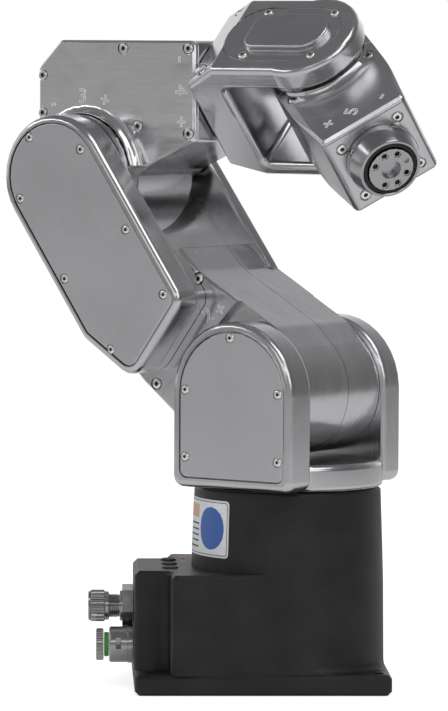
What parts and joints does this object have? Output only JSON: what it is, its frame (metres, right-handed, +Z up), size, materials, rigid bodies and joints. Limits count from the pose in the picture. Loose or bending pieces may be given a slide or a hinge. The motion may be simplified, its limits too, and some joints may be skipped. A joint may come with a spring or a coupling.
{
  "type": "six-axis robot arm",
  "caption": "Small six-axis robot arm on a flat base with a rear connector box, a belt-driven elbow, a forked forearm and a round tool flange.",
  "frame": {"origin": "on the underside of the base, on the axis about which the whole arm turns", "axes": "+Z up, +X towards the front of the base; the connectors are at the rear"},
  "size_m": [0.193, 0.1802, 0.313],
  "materials": {
    "dark_casting": "fine textured dark grey coating",
    "machined_aluminium": "bead-blasted and milled, satin",
    "brushed_cover": "finely brushed",
    "steel": "ground",
    "nickel": "nickel plated, satin",
    "motor_can": "plain",
    "rubber": "matt black",
    "circuit_board": "green laminate",
    "green_ring": "satin",
    "key_grey": "satin",
    "red_lens": "gloss",
    "amber_lens": "gloss"
  },
  "bodies": {
    "base": {"base_housing": "dark_casting", "base_bottom_cover": "dark_casting", "base_drive": "motor_can", "base_bearing_outer_ring": "steel", "controller_board": "circuit_board", "amber_lamp": "amber_lens", "red_lamp": "red_lens", "power_socket": "nickel", "network_socket": "nickel", "network_socket_ring": "green_ring"},
    "turret": {"shoulder_housing": "machined_aluminium", "shoulder_near_cover": "brushed_cover", "shoulder_far_cover": "brushed_cover", "shoulder_hub": "steel", "shoulder_pin": "steel", "base_drive_hub": "steel", "base_bearing_inner_ring": "steel"},
    "upper_arm": {"upper_arm_near_half": "machined_aluminium", "upper_arm_far_half": "machined_aluminium", "shoulder_drive": "motor_can", "shoulder_bearing": "steel", "elbow_drive_housing": "machined_aluminium", "elbow_drive_cover": "brushed_cover", "elbow_motor": "motor_can", "elbow_belt": "rubber", "elbow_bearing": "steel"},
    "elbow_block": {"elbow_housing": "machined_aluminium", "elbow_cover": "brushed_cover", "forearm_drive": "motor_can", "elbow_pin": "steel", "elbow_pulley": "steel"},
    "forearm": {"forearm_fork": "machined_aluminium", "forearm_cover": "brushed_cover", "wrist_drive": "motor_can", "forearm_hub": "steel", "wrist_bearing": "steel"},
    "wrist": {"wrist_housing": "machined_aluminium", "wrist_cover": "brushed_cover", "wrist_hub": "steel", "wrist_pin": "steel", "flange_drive": "motor_can", "flange_collar": "machined_aluminium", "flange_seal": "rubber"},
    "flange": {"tool_flange": "steel"},
    "drive_pulley": {"elbow_motor_pulley": "steel"},
    "power_cap": {"power_socket_cap": "nickel"},
    "network_nut": {"network_socket_nut": "nickel"},
    "first_button": {"button_1": "key_grey"},
    "second_button": {"button_2": "key_grey"},
    "third_button": {"button_3": "key_grey"}
  },
  "joints": [
    {"name": "base_turn", "type": "hinge", "parent": "base", "child": "turret", "pos_m": [0, 0, 0.091], "axis": [0, 0, 1], "range_deg": [-137.8, 212.2]},
    {"name": "shoulder_tilt", "type": "hinge", "parent": "turret", "child": "upper_arm", "pos_m": [0, 0, 0.135], "axis": [0.6043, 0.7967, 0], "range_deg": [-25.5, 114.5]},
    {"name": "elbow_bend", "type": "hinge", "parent": "upper_arm", "child": "elbow_block", "pos_m": [-0.07539, 0.05718, 0.23129], "axis": [-0.6043, -0.7967, 0], "range_deg": [-25.5, 179.5]},
    {"name": "forearm_roll", "type": "hinge", "parent": "elbow_block", "child": "forearm", "pos_m": [-0.02599, 0.01971, 0.26929], "axis": [0.7967, -0.6043, 0], "range_deg": [-123, 217]},
    {"name": "wrist_bend", "type": "hinge", "parent": "forearm", "child": "wrist", "pos_m": [0.02022, -0.01534, 0.26929], "axis": [-0.4121, -0.5434, 0.7314], "range_deg": [-73.3, 156.7]},
    {"name": "flange_turn", "type": "hinge", "parent": "wrist", "child": "flange", "pos_m": [0.04128, -0.07405, 0.23753], "axis": [0.3009, -0.8388, -0.4537], "continuous": true},
    {"name": "drive_pulley_turn", "type": "hinge", "parent": "upper_arm", "child": "drive_pulley", "pos_m": [-0.06449, -0.00129, 0.16934], "axis": [-0.6043, -0.7967, 0], "range_deg": [-40, 271]},
    {"name": "power_cap_turn", "type": "hinge", "parent": "base", "child": "power_cap", "pos_m": [-0.0875, 0.005, 0.0348], "axis": [-1, 0, 0], "continuous": true},
    {"name": "network_nut_turn", "type": "hinge", "parent": "base", "child": "network_nut", "pos_m": [-0.0855, -0.004, 0.0181], "axis": [-1, 0, 0], "continuous": true},
    {"name": "first_button_press", "type": "slide", "parent": "base", "child": "first_button", "axis": [0, 0, -1], "range_m": [0, 0.0007], "stiffness_N_per_m": 400, "springref_m": -0.0004},
    {"name": "second_button_press", "type": "slide", "parent": "base", "child": "second_button", "axis": [0, 0, -1], "range_m": [0, 0.0007], "stiffness_N_per_m": 400, "springref_m": -0.0004},
    {"name": "third_button_press", "type": "slide", "parent": "base", "child": "third_button", "axis": [0, 0, -1], "range_m": [0, 0.0007], "stiffness_N_per_m": 400, "springref_m": -0.0004}
  ],
  "couplings": [
    {"joint": "drive_pulley_turn", "follows": "elbow_bend", "ratio": 1.5}
  ]
}
